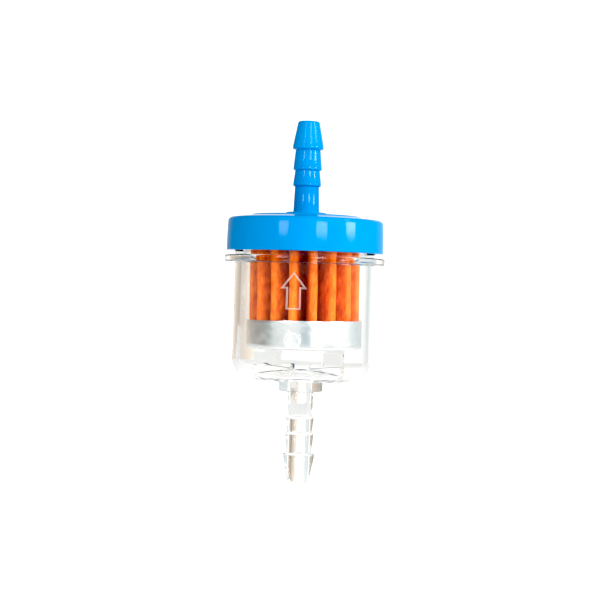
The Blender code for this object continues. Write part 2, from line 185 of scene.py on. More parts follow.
def math_node(tree, operation, first, second=0.0):
    """Add a Math node whose inputs are sockets or plain numbers, and return its output."""
    node = add_node(tree, "ShaderNodeMath", operation=operation)
    for socket, value in zip(node.inputs, (first, second)):
        if isinstance(value, bpy.types.NodeSocket):
            tree.links.new(value, socket)
        else:
            socket.default_value = value
    return node.outputs[0]


direction = add_node(room, "ShaderNodeTexCoord").outputs["Generated"]
split = add_node(room, "ShaderNodeSeparateXYZ")
room.links.new(direction, split.inputs[0])
frontwards = math_node(room, "MULTIPLY", split.outputs["Y"], -1.0)
compass = math_node(room, "ARCTAN2", split.outputs["X"], frontwards)
compass = math_node(room, "SUBTRACT", compass, math.radians(CAMERA_AZIMUTH))
share = math_node(room, "ADD", math_node(room, "DIVIDE", compass, math.tau), 0.5)
share = math_node(room, "FRACT", share)


def color_ramp(tree, value, stops, blend="LINEAR"):
    """Turn a value into a colour. stops are (position, colour)."""
    node = add_node(tree, "ShaderNodeValToRGB")
    node.color_ramp.interpolation = blend
    elements = node.color_ramp.elements
    elements.remove(elements[1])
    elements[0].position, elements[0].color = stops[0][0], (*stops[0][1], 1.0)
    for position, color in stops[1:]:
        elements.new(position).color = (*color, 1.0)
    tree.links.new(value, node.inputs["Fac"])
    return node.outputs["Color"]


def all_round(behind):
    """The room's colour all round, for given stops behind. The ramp's two ends are the same direction."""
    stops = [*behind, *ROUND_THE_FRONT, (180, behind[0][1])]
    return color_ramp(room, share, [((azimuth + 180) / 360, color) for azimuth, color in stops], "EASE")


def mix_colors(share_of_second, first, second):
    """Blend two colours in the room's tree. second is a socket or a plain colour."""
    node = add_node(room, "ShaderNodeMixRGB")
    room.links.new(share_of_second, node.inputs["Fac"])
    room.links.new(first, node.inputs["Color1"])
    if isinstance(second, bpy.types.NodeSocket):
        room.links.new(second, node.inputs["Color2"])
    else:
        node.inputs["Color2"].default_value = second
    return node.outputs["Color"]


rise = add_node(room, "ShaderNodeMapRange", interpolation_type="SMOOTHSTEP")
room.links.new(split.outputs["Z"], rise.inputs["Value"])
for socket, degrees in zip(("From Min", "From Max"), TABLE_EDGE):
    rise.inputs[socket].default_value = math.sin(math.radians(degrees))
room_color = mix_colors(rise.outputs["Result"], all_round(TABLE_BEHIND), all_round(WALL_BEHIND))
ray = add_node(room, "ShaderNodeLightPath")
room_color = mix_colors(ray.outputs["Is Camera Ray"], room_color, (1.0, 1.0, 1.0, 1.0))
background = add_node(room, "ShaderNodeBackground")
less = math_node(room, "MULTIPLY", ray.outputs["Is Diffuse Ray"], ROOM_GLOSS - ROOM_FILL)
room.links.new(math_node(room, "SUBTRACT", ROOM_GLOSS, less), background.inputs["Strength"])
room.links.new(room_color, background.inputs["Color"])
room.links.new(background.outputs[0], add_node(room, "ShaderNodeOutputWorld").inputs["Surface"])
print("room stops above the table's edge:", len(WALL_BEHIND) + len(ROUND_THE_FRONT))

# %% [markdown]
# Three window lights stand in front, each with two panes one above the other. They are small and bright
# enough to leave the three pale glints on the cap's rim.

# %% Hang the window lights
LIGHT_DISTANCE = 0.6
# One light a line: azimuth from the camera, then the width and brightness of its panes.
WINDOW_LIGHTS = ((-32, 0.15, 13.0), (23, 0.17, 19.0), (68, 0.16, 27.0))
# Each pane's height above the horizon and how tall it is, in degrees, and its share of the brightness.
PANES = ((8.5, 7.0, 1.0), (34.0, 18.0, 0.42))

for azimuth, width, radiance in WINDOW_LIGHTS:
    for elevation, tall, strength in PANES:
        lamp_data = bpy.data.lights.new("window_light", "AREA")
        lamp_data.shape = "RECTANGLE"
        lamp_data.size = width
        lamp_data.size_y = 2 * LIGHT_DISTANCE * math.tan(math.radians(tall / 2))
        lamp_data.energy = radiance * strength * math.pi * lamp_data.size * lamp_data.size_y
        lamp = bpy.data.objects.new("window_light", lamp_data)
        bpy.context.scene.collection.objects.link(lamp)
        level = LIGHT_DISTANCE * math.cos(math.radians(elevation))
        lamp.location = around(azimuth + CAMERA_AZIMUTH, level, 0.0)
        lamp.location.z = cap_low.z + LIGHT_DISTANCE * math.sin(math.radians(elevation))
        towards = lamp.location - Vector((0.0, 0.0, cap_low.z))
        lamp.rotation_mode = "QUATERNION"
        lamp.rotation_quaternion = towards.to_track_quat("Z", "Y")
print("window lights:", len(WINDOW_LIGHTS) * len(PANES))

# %% [markdown]
# The tone curve takes the deepest shadows to black and the white backdrop to pure white, as a shop
# catalogue wants. Light turns back and forth many times inside a clear wall, and a path that is cut short
# comes out black, so the paths are allowed more bounces than usual.

# %% Set the picture's tone
BLACK_LEVEL, WHITE_LEVEL = 0.045, 0.96
view = bpy.context.scene.view_settings
view.view_transform = "Standard"
view.use_curve_mapping = True
view.curve_mapping.black_level = (BLACK_LEVEL,) * 3
view.curve_mapping.white_level = (WHITE_LEVEL,) * 3
light_paths = bpy.context.scene.cycles
light_paths.max_bounces = 32
light_paths.transmission_bounces = 32
light_paths.glossy_bounces = 12
print("view:", view.view_transform)

# %% [markdown]
# ## Floor
# A wide pale floor lies well below the filter, which hangs by its hoses and can't stand. It lights the
# filter from below, as a white table does. Right under the filter it is painted greyer, as a painted shadow,
# and the bowl's clear foot takes its soft grey from there. It also glows a little, and more to the camera,
# so that it melts into the white backdrop.

# %% Lay the floor
FLOOR_DROP = 150 * MM
FLOOR_SIZE = 4.0
FLOOR_GLOW = 0.40          # how brightly the floor glows as a light
FLOOR_GLOW_SEEN = 0.7      # and as the camera sees it
# Distance from the floor's middle in metres, and the floor's colour there. The grey in the middle is a
# painted shadow.
FLOOR_WHITE_AND_PAINTED_SHADOW = ((0.08, (0.5, 0.5, 0.5)), (0.3, (0.92, 0.92, 0.92)))


def spread(tree, value, low, high, new_low, new_high):
    """Map a value's range onto another, held at its ends, and return the output."""
    node = add_node(tree, "ShaderNodeMapRange")
    tree.links.new(value, node.inputs["Value"])
    for socket, number in zip(("From Min", "From Max", "To Min", "To Max"), (low, high, new_low, new_high)):
        node.inputs[socket].default_value = number
    return node.outputs["Result"]


floor_shape = bmesh.new()
bmesh.ops.create_grid(floor_shape, x_segments=1, y_segments=1, size=FLOOR_SIZE / 2)
bmesh.ops.translate(floor_shape, verts=floor_shape.verts, vec=(0.0, 0.0, bowl_low.z - FLOOR_DROP))
floor_mesh = bpy.data.meshes.new("floor")
floor_shape.to_mesh(floor_mesh)
floor_shape.free()
floor = bpy.data.objects.new("floor", floor_mesh)
bpy.context.scene.collection.objects.link(floor)
floor_paint = bpy.data.materials.new("pale_floor")
floor_paint.use_nodes = True
floor_tree = floor_paint.node_tree
floor_shader = floor_tree.nodes["Principled BSDF"]
from_foot = add_node(floor_tree, "ShaderNodeVectorMath", operation="LENGTH")
floor_place = add_node(floor_tree, "ShaderNodeTexCoord").outputs["Object"]
floor_tree.links.new(floor_place, from_foot.inputs[0])
# Painted shadow: the floor's colour and glow are grey right under the filter and white further out.
floor_white_and_shadow = color_ramp(floor_tree, from_foot.outputs["Value"], FLOOR_WHITE_AND_PAINTED_SHADOW, "EASE")
floor_tree.links.new(floor_white_and_shadow, floor_shader.inputs["Base Color"])
floor_tree.links.new(floor_white_and_shadow, floor_shader.inputs["Emission Color"])
floor_shader.inputs["Roughness"].default_value = 0.9
seen = add_node(floor_tree, "ShaderNodeLightPath").outputs["Is Camera Ray"]
glow = spread(floor_tree, seen, 0.0, 1.0, FLOOR_GLOW, FLOOR_GLOW_SEEN)
floor_tree.links.new(glow, floor_shader.inputs["Emission Strength"])
floor_mesh.materials.append(floor_paint)
print("floor", FLOOR_SIZE, "m square")

# %% [markdown]
# ## Shared patterns
# Two effects turn up on more than one finish, so each is a node group with its own inputs. Moulded plastic
# and pressed tin are never perfectly flat: a slow ripple bends their reflections. And everything that has
# been handled has fine scuffs, which show as patches of slightly duller gloss.

# %% Node groups for ripple and scuffs


def new_group(name, inputs, outputs):
    """Start a shader node group. inputs are (name, socket type, default), outputs are (name, socket type)."""
    group = bpy.data.node_groups.new(name, "ShaderNodeTree")
    for socket_name, kind, default in inputs:
        socket = group.interface.new_socket(socket_name, in_out="INPUT", socket_type=kind)
        if default is not None:
            socket.default_value = default
    for socket_name, kind in outputs:
        group.interface.new_socket(socket_name, in_out="OUTPUT", socket_type=kind)
    return group, group.nodes.new("NodeGroupInput"), group.nodes.new("NodeGroupOutput")


def noise_node(tree, vector, scale, detail=2.0, roughness=0.5):
    """Add a Noise Texture on a vector and return its value output. scale is a number or a socket."""
    node = add_node(tree, "ShaderNodeTexNoise")
    tree.links.new(vector, node.inputs["Vector"])
    if isinstance(scale, bpy.types.NodeSocket):
        tree.links.new(scale, node.inputs["Scale"])
    else:
        node.inputs["Scale"].default_value = scale
    node.inputs["Detail"].default_value = detail
    node.inputs["Roughness"].default_value = roughness
    return node.outputs["Fac"]


def stretched(tree, vector, stretch):
    """A vector scaled differently along each axis, so that a pattern on it is drawn out."""
    node = add_node(tree, "ShaderNodeMapping")
    node.inputs["Scale"].default_value = stretch
    tree.links.new(vector, node.inputs["Vector"])
    return node.outputs["Vector"]


ripple_group, ripple_in, ripple_out = new_group(
    "surface_ripple",
    (
        ("Vector", "NodeSocketVector", None),
        ("Scale", "NodeSocketFloat", 120.0),
        ("Depth", "NodeSocketFloat", 1.0),
    ),
    (("Height", "NodeSocketFloat"),),
)
slow = noise_node(ripple_group, ripple_in.outputs["Vector"], ripple_in.outputs["Scale"], 1.0, 0.4)
deepened = math_node(ripple_group, "MULTIPLY", slow, ripple_in.outputs["Depth"])
ripple_group.links.new(deepened, ripple_out.inputs[0])

scuff_group, scuff_in, scuff_out = new_group(
    "handling_scuffs",
    (("Vector", "NodeSocketVector", None), ("Low", "NodeSocketFloat", 0.2), ("High", "NodeSocketFloat", 0.3)),
    (("Roughness", "NodeSocketFloat"),),
)
patches = noise_node(scuff_group, scuff_in.outputs["Vector"], 260.0, 6.0, 0.65)
rubbed = stretched(scuff_group, scuff_in.outputs["Vector"], (1.0, 1.0, 7.0))
hairlines = noise_node(scuff_group, rubbed, 900.0, 2.0)
worn = math_node(scuff_group, "MULTIPLY", spread(scuff_group, patches, 0.42, 0.72, 0.0, 1.0), 0.7)
worn = math_node(scuff_group, "ADD", worn, spread(scuff_group, hairlines, 0.55, 0.8, 0.0, 0.5))
gap = math_node(scuff_group, "SUBTRACT", scuff_in.outputs["High"], scuff_in.outputs["Low"])
dull = math_node(scuff_group, "ADD", math_node(scuff_group, "MULTIPLY", worn, gap), scuff_in.outputs["Low"])
scuff_group.links.new(dull, scuff_out.inputs[0])
print("groups:", ripple_group.name, scuff_group.name)

# %% [markdown]
# ## Finishes
# Every finish starts as one Principled shader. Its even values, such as the index of refraction, sit on the
# shader itself, and only what changes over the surface comes from nodes.

# %% Start a finish


def new_finish(name, **sockets):
    """Start a material with plain values. Returns it, its tree, its shader and its Object coordinates."""
    material = bpy.data.materials.new(name)
    material.use_nodes = True
    tree = material.node_tree
    shader = tree.nodes["Principled BSDF"]
    for socket, value in sockets.items():
        shader.inputs[socket.replace("_", " ")].default_value = value
    return material, tree, shader, add_node(tree, "ShaderNodeTexCoord").outputs["Object"]


def place_group(tree, group, vector, **values):
    """Place a node group in a material with its own values, and return its output."""
    node = add_node(tree, "ShaderNodeGroup", node_tree=group)
    tree.links.new(vector, node.inputs["Vector"])
    for name, value in values.items():
        node.inputs[name].default_value = value
    return node.outputs[0]


def bump(tree, shader, height, distance, strength=1.0):
    """Feed a height to the shader's normal. distance is the height's depth in metres."""
    node = add_node(tree, "ShaderNodeBump")
    node.inputs["Strength"].default_value = strength
    node.inputs["Distance"].default_value = distance
    tree.links.new(height, node.inputs["Height"])
    tree.links.new(node.outputs["Normal"], shader.inputs["Normal"])


# %% [markdown]
# The cap is nylon moulded in sky blue. It is dyed right through, so wear doesn't change its colour. What
# shows is the gloss: a slow ripple from shrinkage, and scuffs from handling.

# %% Blue moulded plastic
blue_plastic, tree, shader, place = new_finish("blue_plastic", IOR=1.5, Specular_IOR_Level=0.12)
dye = noise_node(tree, stretched(tree, place, (1.0, 1.0, 0.35)), 160.0, 3.0)
blue = color_ramp(tree, dye, ((0.3, (0.002, 0.252, 0.600)), (0.7, (0.004, 0.278, 0.660))))
tree.links.new(blue, shader.inputs["Base Color"])
tree.links.new(place_group(tree, scuff_group, place, Low=0.08, High=0.17), shader.inputs["Roughness"])
bump(tree, shader, place_group(tree, ripple_group, place, Scale=140.0), 0.02 * MM)
print("finish:", blue_plastic.name)

# %% [markdown]
# The bowl is a clear, petrol-proof plastic. It is a solid wall that bends light, so its finish transmits
# light as glass does. Glass would keep the lamps off the paper inside, so shadow rays are let through with
# a Transparent shader. The ribs and the flange's rim are thin and rounded, and on the real filter they show
# only as faint lines. A lower index of refraction on their faces keeps them as faint.

# %% Clear moulded plastic
PLASTIC_INDEX, RIM_INDEX, RIB_INDEX = 1.49, 1.33, 1.12
LAMP_THROUGH = (0.93, 0.94, 0.94, 1.0)      # what is left of a lamp's light behind one wall


def clear_finish(name, index, glint, transmission=1.0):
    """A glass finish that lets lamps through, with its glint scaled. Returns what new_finish returns."""
    material, tree, shader, place = new_finish(
        name,
        Base_Color=(0.985, 0.985, 0.98, 1.0),
        Roughness=0.02,
        IOR=index,
        Transmission_Weight=transmission,
        Specular_Tint=(glint, glint, glint, 1.0),
    )
    clear = add_node(tree, "ShaderNodeBsdfTransparent")
    clear.inputs["Color"].default_value = LAMP_THROUGH
    blend = add_node(tree, "ShaderNodeMixShader")
    tree.links.new(add_node(tree, "ShaderNodeLightPath").outputs["Is Shadow Ray"], blend.inputs["Fac"])
    tree.links.new(shader.outputs["BSDF"], blend.inputs[1])
    tree.links.new(clear.outputs["BSDF"], blend.inputs[2])
    tree.links.new(blend.outputs["Shader"], tree.nodes["Material Output"].inputs["Surface"])
    return material, tree, shader, place


clear_plastic, tree, shader, place = clear_finish("clear_plastic", PLASTIC_INDEX, 0.8)
bump(tree, shader, place_group(tree, ripple_group, place, Scale=110.0), 0.03 * MM)
rim_plastic, tree, shader, place = clear_finish("rim_plastic", RIM_INDEX, 0.8)
bump(tree, shader, place_group(tree, ripple_group, place, Scale=110.0), 0.03 * MM)
rib_plastic, *_ = clear_finish("rib_plastic", RIB_INDEX, 1.0)
print("finishes:", clear_plastic.name, rim_plastic.name, rib_plastic.name)

# %% [markdown]
# The arrow and the ring were spark-eroded into the mould, and that rough surface is moulded into the
# plastic. It scatters light, so the marks look like pale frosted lines.

# %% Frosted clear plastic
frosted_plastic, tree, shader, place = clear_finish("frosted_plastic", PLASTIC_INDEX, 0.8, transmission=0.8)
pits = noise_node(tree, place, 4000.0, 2.0)
tree.links.new(spread(tree, pits, 0.3, 0.7, 0.3, 0.5), shader.inputs["Roughness"])
print("finish:", frosted_plastic.name)

# %% [markdown]
# Filter paper is soaked in resin and baked, which turns it orange brown. The fibres give it a fine nap, and
# the resin gathers in cloudy patches. The paper runs off the roll upwards here, so fibres and faint rolling
# lines are drawn out along Z. On top of that, painted shade makes the valleys between the folds darker and
# the crests paler.

# %% Resin paper


def distance_from_axis(tree, vector):
    """How far a point on the part is from the Z axis, in metres."""
    node = add_node(tree, "ShaderNodeVectorMath", operation="LENGTH")
    tree.links.new(stretched(tree, vector, (1.0, 1.0, 0.0)), node.inputs[0])
    return node.outputs["Value"]


resin_paper, tree, shader, place = new_finish("resin_paper", Specular_IOR_Level=0.1)
clouds = noise_node(tree, place, 420.0, 4.0, 0.6)
fibres = noise_node(tree, stretched(tree, place, (1.0, 1.0, 0.16)), 3200.0, 3.0, 0.6)
cloud_share = math_node(tree, "MULTIPLY", clouds, 0.6)
mottle = math_node(tree, "ADD", cloud_share, math_node(tree, "MULTIPLY", fibres, 0.4))
# Painted shade: the colour darkens towards the inner valleys between the folds and pales at the outer crests.
crest = spread(tree, distance_from_axis(tree, place), 8.0 * MM, 13.0 * MM, -0.22, 0.12)
mottle_and_fold_shade = math_node(tree, "ADD", spread(tree, mottle, 0.35, 0.65, 0.22, 0.78), crest)
oranges = ((0.24, (0.46, 0.045, 0.002)), (0.50, (0.70, 0.110, 0.005)), (0.72, (0.84, 0.190, 0.020)))
orange = color_ramp(tree, mottle_and_fold_shade, oranges)
tree.links.new(orange, shader.inputs["Base Color"])
tree.links.new(spread(tree, clouds, 0.3, 0.7, 0.6, 0.85), shader.inputs["Roughness"])
bump(tree, shader, fibres, 0.05 * MM, 0.8)
print("finish:", resin_paper.name)

# %% [markdown]
# The element's end cups are pressed from tin plate. The tin is bright but not a mirror: drawing the cup
# leaves it slightly wavy, and the tin coat has faint grains.

# %% Bright tin plate
tin_plate, tree, shader, place = new_finish("tin_plate", Metallic=1.0)
grains = add_node(tree, "ShaderNodeTexVoronoi")
grains.inputs["Scale"].default_value = 700.0
tree.links.new(place, grains.inputs["Vector"])
grey = color_ramp(tree, grains.outputs["Color"], ((0.0, (0.84, 0.85, 0.85)), (1.0, (0.90, 0.91, 0.91))))
tree.links.new(grey, shader.inputs["Base Color"])
tree.links.new(place_group(tree, scuff_group, place, Low=0.16, High=0.34), shader.inputs["Roughness"])
drawn = place_group(tree, ripple_group, stretched(tree, place, (1.0, 1.0, 1.8)), Scale=200.0)
bump(tree, shader, drawn, 0.06 * MM)
print("finish:", tin_plate.name)

# %% [markdown]
# Plastisol and rubber stay inside. The plastisol has small bubbles from curing, and the rubber has a bloom.

# %% Plastisol and rubber
plastisol, tree, shader, place = new_finish("plastisol", Roughness=0.45)
curing = noise_node(tree, place, 900.0, 4.0)
dark_grey = color_ramp(tree, curing, ((0.3, (0.07, 0.07, 0.08)), (0.7, (0.13, 0.13, 0.14))))
tree.links.new(dark_grey, shader.inputs["Base Color"])
bump(tree, shader, curing, 0.08 * MM)

black_rubber, tree, shader, place = new_finish("black_rubber")
bloom = noise_node(tree, place, 600.0, 5.0)
black = color_ramp(tree, bloom, ((0.3, (0.02, 0.02, 0.02)), (0.8, (0.06, 0.06, 0.06))))
tree.links.new(black, shader.inputs["Base Color"])
tree.links.new(spread(tree, bloom, 0.3, 0.7, 0.5, 0.75), shader.inputs["Roughness"])
print("finishes:", plastisol.name, black_rubber.name)

# %% [markdown]
# ## Turned pieces
# The cap, the bowl and the cups are round, so each starts as half of its section, drawn as a few corner
# points. A vertex bevel rounds each corner by its own radius while the section is still a line, which is
# far tidier than bevelling rings of edges later. Then one full spin makes the solid.

# %% Helpers for turned pieces
FINE_STEPS = 176
MERGE = 0.001 * MM


def section(corners, closed=True):
    """A bmesh line through corners of (radius, height, rounding, steps), in millimetres, all rounded."""
    shape = bmesh.new()
    verts = [shape.verts.new((radius * MM, 0.0, height * MM)) for radius, height, *_ in corners]
    for pair in zip(verts, verts[1:]):
        shape.edges.new(pair)
    if closed:
        shape.edges.new((verts[-1], verts[0]))
    for vert, (_, _, rounding, steps) in zip(verts, corners):
        if rounding:
            bmesh.ops.bevel(
                shape,
                geom=[vert],
                offset=rounding * MM,
                offset_type="OFFSET",
                affect="VERTICES",
                segments=steps,
                profile=0.5,
                clamp_overlap=True,
                material=-1,
            )
    return shape


def turn(shape, steps=FINE_STEPS):
    """Spin a section once round Z, close it, and turn its faces outwards."""
    bmesh.ops.spin(
        shape,
        geom=shape.verts[:] + shape.edges[:],
        cent=(0.0, 0.0, 0.0),
        axis=(0.0, 0.0, 1.0),
        angle=math.tau,
        steps=steps,
        use_merge=True,
        use_duplicate=False,
    )
    bmesh.ops.remove_doubles(shape, verts=shape.verts, dist=MERGE)
    bmesh.ops.recalc_face_normals(shape, faces=shape.faces)
    return shape


def make_piece(name, shape, finish, slot, *nodes, sharp=40, place=Matrix.Identity(4)):
    """Make a bmesh an object that rides on the part and stands for CAD nodes. place moves it first."""
    bmesh.ops.transform(shape, matrix=place, verts=shape.verts)
    mesh = bpy.data.meshes.new(name)
    shape.to_mesh(mesh)
    shape.free()
    mesh.shade_smooth()
    mesh.set_sharp_from_angle(angle=math.radians(sharp))
    mesh.materials.append(finish)
    piece = bpy.data.objects.new(name, mesh)
    bpy.context.scene.collection.objects.link(piece)
    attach(piece, "root")
    if nodes:
        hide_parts(*nodes)
    print(name, "has", len(mesh.polygons), "faces")
    return piece


# %% [markdown]
# A hose barb grips with sharp ridges that all point back from the tip, so that the hose slides on and won't
# slide off. The tip ridge is the largest. Both ends of the filter use the same barb, one of them upside
# down.

# %% The barb's corners
BARB_LENGTH = 21.9
BORE = 1.8
# Distance from the tip, radius and rounding of each corner, tip first.
BARB = (
    (0.0, 2.57, 0.35),
    (6.0, 3.72, 0.25),
    (6.7, 3.72, 0.12),
    (6.9, 3.01, 0.08),
    (11.2, 3.43, 0.2),
    (11.7, 3.43, 0.1),
    (11.9, 2.98, 0.08),
    (15.1, 3.38, 0.15),
    (15.5, 3.38, 0.1),
    (15.8, 2.92, 0.08),
)


def barb(tip, inwards):
    """The barb's corners from its tip. inwards is 1 if the root is above the tip, and -1 if it is below."""
    return [(radius, tip + inwards * distance, rounding, 3) for distance, radius, rounding in BARB]


# %% [markdown]
# ## Outlet cap
# The cap is a shallow cup, upside down, with a stepped top. Its skirt isn't a true cylinder: the wall bows
# in a little towards the top, as moulded walls do, and that is why lamps show on it as short glints and not
# as stripes.

# %% Turn the cap
cap_top = cap_high.z / MM
base_top = cap_top - BARB_LENGTH
skirt = cap_low.z / MM
rim = cap_high.x / MM
# Radius, height, rounding and its steps of each corner, from the tip down the outside and up the inside.
cap_corners = [
    *barb(cap_top, -1),
    (3.15, base_top, 0.35, 4),
    (4.85, base_top, 0.22, 4),
    (4.85, 64.15, 0.2, 3),
    (13.0, 64.15, 0.15, 3),
    (13.4, 63.8, 0.3, 3),
    (18.68, 63.2, 0.8, 6),
    (rim, 58.6, 3.0, 8),
    (rim, skirt, 0.25, 4),
    (17.2, skirt, 0.2, 3),
    (17.2, 62.3, 0.4, 3),
    (3.4, 62.3, 0.3, 3),
    (3.4, 57.0, 0.2, 3),
    (BORE, 57.0, 0.2, 3),
    (BORE, cap_top, 0.25, 3),
]
make_piece("outlet_cap_shell", turn(section(cap_corners)), blue_plastic, "blue_plastic", "outlet_cap")

# %% [markdown]
# ## Bowl
# The bowl has a thick, even wall. On the real one the wall's inner and outer faces both bend light, so both
# are modelled, and the ribs and marks are joined to it with a Boolean: two clear shapes that only overlap
# would show a false surface where they cross.

# %% Turn the bowl
FLOOR_INSIDE = 26.2
wall_outside, wall_inside = 16.75, 15.25
neck_top = bowl_high.z / MM
flange = bowl_high.x / MM
# The same for the bowl, from the neck down the outside and up the inside.
bowl_corners = [
    (16.85, neck_top, 0.3, 3),
    (16.85, 54.2, 0.2, 3),
    (flange, 54.2, 0.35, 5),
    (flange, 52.6, 0.35, 5),
    (wall_outside, 52.6, 0.3, 4),
    (wall_outside, 24.7, 4.8, 14),
    (5.25, 24.7, 0.2, 3),
    (5.25, BARB_LENGTH, 0.35, 4),
    (3.15, BARB_LENGTH, 0.3, 3),
    *reversed(barb(0.0, 1)),
    (BORE, 0.0, 0.25, 3),
    (BORE, FLOOR_INSIDE, 0.4, 3),
    (wall_inside, FLOOR_INSIDE, 3.3, 12),
    (wall_inside, neck_top, 0.3, 3),
]
bowl_piece = make_piece("clear_bowl", turn(section(bowl_corners)), clear_plastic, "clear_plastic", "bowl")

# %% [markdown]
# Four stepped ribs stand on the bowl's floor and hold the element up, so that fuel can reach it from below.
# Each is a flat blade: a face with six corners, extruded to its thickness, with its edges rounded.

# %% Stand the ribs on the floor
RIB_AZIMUTHS = (49, 139, 229, 319)
RIB_THICKNESS = 1.2
RIB_INNER, RIB_MIDDLE, RIB_OUTER = 3.2, 8.0, 14.0      # radii of the blade's ends and of its step
RIB_TOP = 31.55
rib_step = FLOOR_INSIDE + 2.0
rib_root = FLOOR_INSIDE - 0.7
blade = (
    (RIB_INNER, rib_root),
    (RIB_OUTER, rib_root),
    (RIB_OUTER, RIB_TOP),
    (RIB_MIDDLE, RIB_TOP),
    (RIB_MIDDLE, rib_step),
    (RIB_INNER, rib_step),
)


def add_rib(shape, azimuth):
    """Add one blade that stands radially at an azimuth."""
    sideways = around(azimuth + 90, RIB_THICKNESS * MM, 0.0)
    corners = [around(azimuth, radius * MM, height * MM) - sideways / 2 for radius, height in blade]
    face = shape.faces.new([shape.verts.new(corner) for corner in corners])
    grown = bmesh.ops.extrude_face_region(shape, geom=[face], use_keep_orig=True)["geom"]
    bmesh.ops.translate(shape, verts=[v for v in grown if isinstance(v, bmesh.types.BMVert)], vec=sideways)


ribs = bmesh.new()
for azimuth in RIB_AZIMUTHS:
    add_rib(ribs, azimuth)
bmesh.ops.recalc_face_normals(ribs, faces=ribs.faces)
bmesh.ops.bevel(
    ribs,
    geom=ribs.edges[:],
    offset=0.15 * MM,
    offset_type="OFFSET",
    affect="EDGES",
    segments=2,
    profile=0.5,
    clamp_overlap=True,
    material=-1,
)
print("ribs:", len(RIB_AZIMUTHS))

# %% [markdown]
# The flow arrow and a plain ring are cut into the mould, so they stand out of the wall as fine raised
# lines. Each is drawn flat as one face, inset to leave a line along its edge, extruded, softened, and then
# wrapped round the wall.

# %% Draw the raised marks
MARK_LINE = 0.4
MARK_HEIGHT = 0.3
MARK_ROUND = 0.2
MARK_DEPTH = 0.5
ARROW_TIP, ARROW_FOOT = 50.4, 41.7
ARROW_HEAD = 3.9
ARROW_SHAFT_HALF, ARROW_HEAD_HALF = 1.7, 3.1
RING_HEIGHT, RING_RADIUS = 34.6, 1.9
LONG_EDGE = 1.2      # a straight edge longer than this is divided, so that it can follow the wall


def raised_line(flat):
    """Turn a flat face into a raised line that follows its edge, and wrap it on the wall."""
    flat.normal_update()
    line = bmesh.ops.inset_region(
        flat, faces=flat.faces[:], thickness=MARK_LINE * MM, use_even_offset=True, use_boundary=True
    )["faces"]
    bmesh.ops.delete(flat, geom=[face for face in flat.faces if face not in line], context="FACES")
    straight = [edge for edge in flat.edges if edge.calc_length() > LONG_EDGE * MM]
    bmesh.ops.subdivide_edges(flat, edges=straight, cuts=6, use_grid_fill=True)
    grown = bmesh.ops.extrude_face_region(flat, geom=flat.faces[:], use_keep_orig=True)["geom"]
    raised = [v for v in grown if isinstance(v, bmesh.types.BMVert)]
    bmesh.ops.translate(flat, verts=raised, vec=(0.0, 0.0, (MARK_HEIGHT + MARK_DEPTH) * MM))
    bmesh.ops.recalc_face_normals(flat, faces=flat.faces)
    corners = [edge for edge in flat.edges if edge.calc_face_angle(0.0) > 1.0]
    crest = [edge for edge in corners if min(vert.co.z for vert in edge.verts) > 0.0]
    bmesh.ops.bevel(
        flat,
        geom=crest,
        offset=MARK_ROUND * MM,
        offset_type="OFFSET",
        affect="EDGES",
        segments=4,
        profile=0.5,
        clamp_overlap=True,
        material=-1,
    )
    for vert in flat.verts:
        depth = vert.co.z - MARK_DEPTH * MM
        vert.co = around(math.degrees(vert.co.x / (wall_outside * MM)), wall_outside * MM + depth, vert.co.y)
    bmesh.ops.recalc_face_normals(flat, faces=flat.faces)
    return flat


arrow = bmesh.new()
right = [
    (ARROW_SHAFT_HALF, ARROW_FOOT),
    (ARROW_SHAFT_HALF, ARROW_TIP - ARROW_HEAD),
    (ARROW_HEAD_HALF, ARROW_TIP - ARROW_HEAD),
]
arrow_outline = [*right, (0.0, ARROW_TIP), *[(-x, y) for x, y in reversed(right)]]
arrow.faces.new([arrow.verts.new((x * MM, y * MM, 0.0)) for x, y in arrow_outline])
raised_line(arrow)
ring = bmesh.new()
bmesh.ops.create_circle(ring, cap_ends=True, segments=40, radius=RING_RADIUS * MM)
bmesh.ops.translate(ring, verts=ring.verts, vec=(0.0, RING_HEIGHT * MM, 0.0))
raised_line(ring)
print("marks:", len(arrow.faces) + len(ring.faces), "faces")

# %% Join ribs and marks to the bowl


def join(piece, shape, name):
    """Join a closed bmesh to a piece with a Boolean union, for good."""
    mesh = bpy.data.meshes.new(name)
    shape.to_mesh(mesh)
    shape.free()
    tool = bpy.data.objects.new(name, mesh)
    bpy.context.scene.collection.objects.link(tool)
    union = piece.modifiers.new(name, "BOOLEAN")
    union.operation = "UNION"
    union.object = tool
    evaluated = piece.evaluated_get(bpy.context.evaluated_depsgraph_get())
    joined = bpy.data.meshes.new_from_object(evaluated)
    piece.modifiers.clear()
    piece.data = joined
    bpy.data.objects.remove(tool, do_unlink=True)


for name, shape in (("ribs", ribs), ("arrow", arrow), ("ring", ring)):
    join(bowl_piece, shape, name)
bowl_piece.data.set_sharp_from_angle(angle=math.radians(40))
print("bowl now has", len(bowl_piece.data.polygons), "faces")

# %% [markdown]
# The joined bowl is one mesh, so its ribs, rim and marks get their finishes face by face, by where each
# face lies.

# %% Give the ribs, the rim and the marks their finishes
MARK_FACES, RIB_FACES, RIM_FACES = 1, 2, 3
MARKS_START, RIM_STARTS = 0.04, 0.45      # how far out from the wall's face they begin
for finish in (frosted_plastic, rib_plastic, rim_plastic):
    bowl_piece.data.materials.append(finish)


def on_a_rib(radius, azimuth, height):
    """True if a point lies on one of the four blades, within a hair, and clear of the floor."""
    past_a_rib = math.radians((azimuth - RIB_AZIMUTHS[0] + 45) % 90 - 45)
    in_the_blade = radius * abs(math.sin(past_a_rib)) < RIB_THICKNESS / 2 + 0.02 and radius < RIB_OUTER + 0.1
    return in_the_blade and FLOOR_INSIDE + 0.05 < height < RIB_TOP + 0.05


